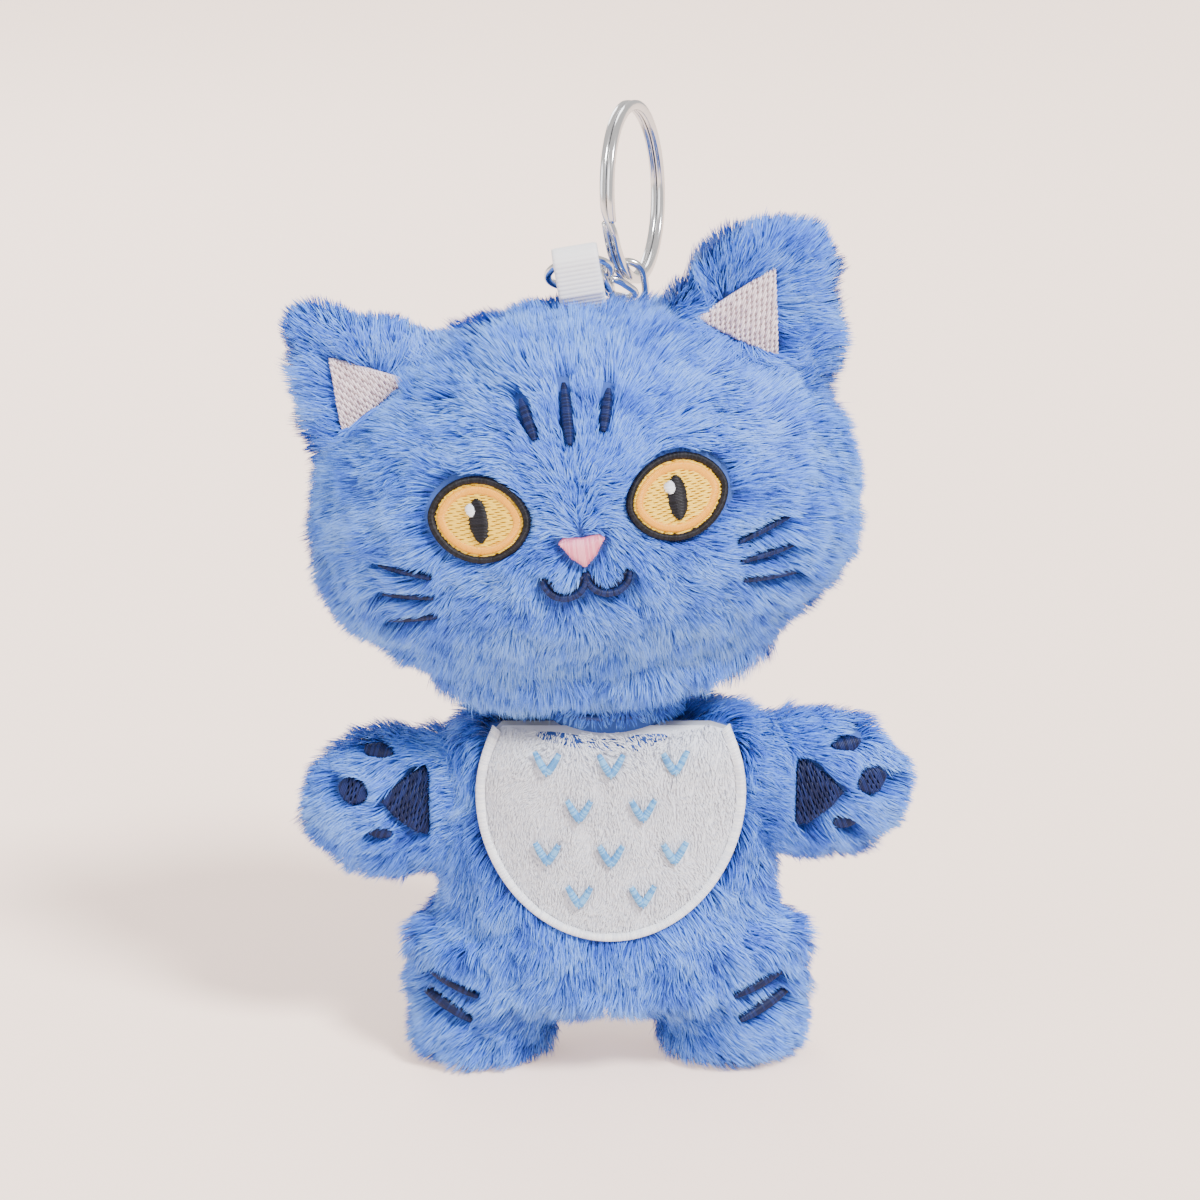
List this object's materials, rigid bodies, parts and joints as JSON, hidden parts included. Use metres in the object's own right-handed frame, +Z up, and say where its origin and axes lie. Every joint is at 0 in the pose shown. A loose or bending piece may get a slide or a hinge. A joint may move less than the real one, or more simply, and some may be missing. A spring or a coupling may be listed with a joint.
{
  "type": "plush keychain",
  "caption": "Stuffed pile-fabric cat with embroidered face, oval belly patch and stub legs, hung from a ribbon loop, a short chain and a split ring.",
  "frame": {"origin": "on the standing surface, midway between the two soles and under the side seam", "axes": "+Z up, -Y the way the face looks, +X to the right of a viewer who faces the cat"},
  "size_m": [0.0775, 0.0487, 0.1239],
  "materials": {
    "fur": "short dense polyester pile, soft sheen, combed away from the face",
    "stuffing": "loose polyester fibre filling",
    "white_felt": "short brushed cloth patch",
    "white_thread": "satin embroidery thread",
    "navy_thread": "satin embroidery thread",
    "amber_thread": "satin embroidery thread with dark pupil and outline",
    "pink_thread": "woven fill stitches",
    "nose_thread": "satin embroidery thread",
    "light_blue_thread": "satin embroidery thread",
    "blue_thread": "sewing thread",
    "ribbon": "ribbed woven ribbon",
    "steel": "polished nickel-plated steel wire"
  },
  "bodies": {
    "torso": {"torso_front_cover": "fur", "torso_back_cover": "fur", "torso_stuffing": "stuffing", "belly_patch": "white_felt", "belly_border": "white_thread", "belly_marks": "light_blue_thread", "neck_thread": "blue_thread", "left_leg_front_cover": "fur", "left_leg_back_cover": "fur", "left_leg_stuffing": "stuffing", "left_leg_stripes": "navy_thread", "right_leg_front_cover": "fur", "right_leg_back_cover": "fur", "right_leg_stuffing": "stuffing", "right_leg_stripes": "navy_thread"},
    "neck": {"neck_stuffing": "stuffing"},
    "head": {"head_front_cover": "fur", "head_back_cover": "fur", "head_stuffing": "stuffing", "left_ear_front": "fur", "left_ear_back": "fur", "left_ear_lining": "pink_thread", "right_ear_front": "fur", "right_ear_back": "fur", "right_ear_lining": "pink_thread", "left_eye": "amber_thread", "right_eye": "amber_thread", "nose": "nose_thread", "mouth": "navy_thread", "whiskers": "navy_thread", "forehead_stripes": "navy_thread", "ribbon_anchor": "ribbon"},
    "left_arm": {"left_arm_front_cover": "fur", "left_arm_back_cover": "fur", "left_arm_stuffing": "stuffing", "left_paw_pads": "navy_thread"},
    "right_arm": {"right_arm_front_cover": "fur", "right_arm_back_cover": "fur", "right_arm_stuffing": "stuffing", "right_paw_pads": "navy_thread"},
    "ribbon": {"ribbon_loop": "ribbon"},
    "jump_ring": {"jump_ring": "steel"},
    "link_1": {"link_1": "steel"},
    "link_2": {"link_2": "steel"},
    "link_3": {"link_3": "steel"},
    "split_ring": {"split_ring": "steel"}
  },
  "joints": [
    {"name": "neck_nod", "type": "hinge", "parent": "torso", "child": "neck", "pos_m": [0.0002, 0, 0.0503], "axis": [1, 0, 0], "range_deg": [-8, 8], "stiffness_Nm_per_rad": 0.05},
    {"name": "head_lean", "type": "hinge", "parent": "neck", "child": "head", "pos_m": [0.0002, 0, 0.0503], "axis": [0, 1, 0], "range_deg": [-4, 14], "stiffness_Nm_per_rad": 0.05},
    {"name": "left_shoulder", "type": "hinge", "parent": "torso", "child": "left_arm", "pos_m": [-0.019, 0, 0.0354], "axis": [0, 1, 0], "range_deg": [-10, 20], "stiffness_Nm_per_rad": 0.01},
    {"name": "right_shoulder", "type": "hinge", "parent": "torso", "child": "right_arm", "pos_m": [0.019, 0, 0.0378], "axis": [0, -1, 0], "range_deg": [-10, 12], "stiffness_Nm_per_rad": 0.01},
    {"name": "ribbon_flex", "type": "hinge", "parent": "head", "child": "ribbon", "pos_m": [-0.00286, 0, 0.10055], "axis": [0.9863, 0, 0.165], "range_deg": [0, 40], "stiffness_Nm_per_rad": 0.004},
    {"name": "jump_ring_swing", "type": "hinge", "parent": "ribbon", "child": "jump_ring", "pos_m": [-0.00374, 0, 0.10577], "axis": [0.9863, 0, 0.165], "range_deg": [0, 40]},
    {"name": "link_1_swing", "type": "hinge", "parent": "jump_ring", "child": "link_1", "pos_m": [0.00042, 0.00354, 0.10396], "axis": [0.1811, -0.7874, 0.5893], "range_deg": [-2, 30]},
    {"name": "link_2_swing", "type": "hinge", "parent": "link_1", "child": "link_2", "pos_m": [-0.00011, 0.00891, 0.10242], "axis": [-0.4041, 0.3111, 0.8602], "range_deg": [-4, 20]},
    {"name": "link_3_swing", "type": "hinge", "parent": "link_2", "child": "link_3", "pos_m": [0.00308, 0.01137, 0.09924], "axis": [-0.6751, 0.6911, -0.258], "range_deg": [-1, 14]},
    {"name": "split_ring_swing", "type": "hinge", "parent": "link_3", "child": "split_ring", "pos_m": [0.00234, 0.01004, 0.10401], "axis": [-0.9911, 0.0431, -0.1263], "range_deg": [-8, 18]}
  ]
}
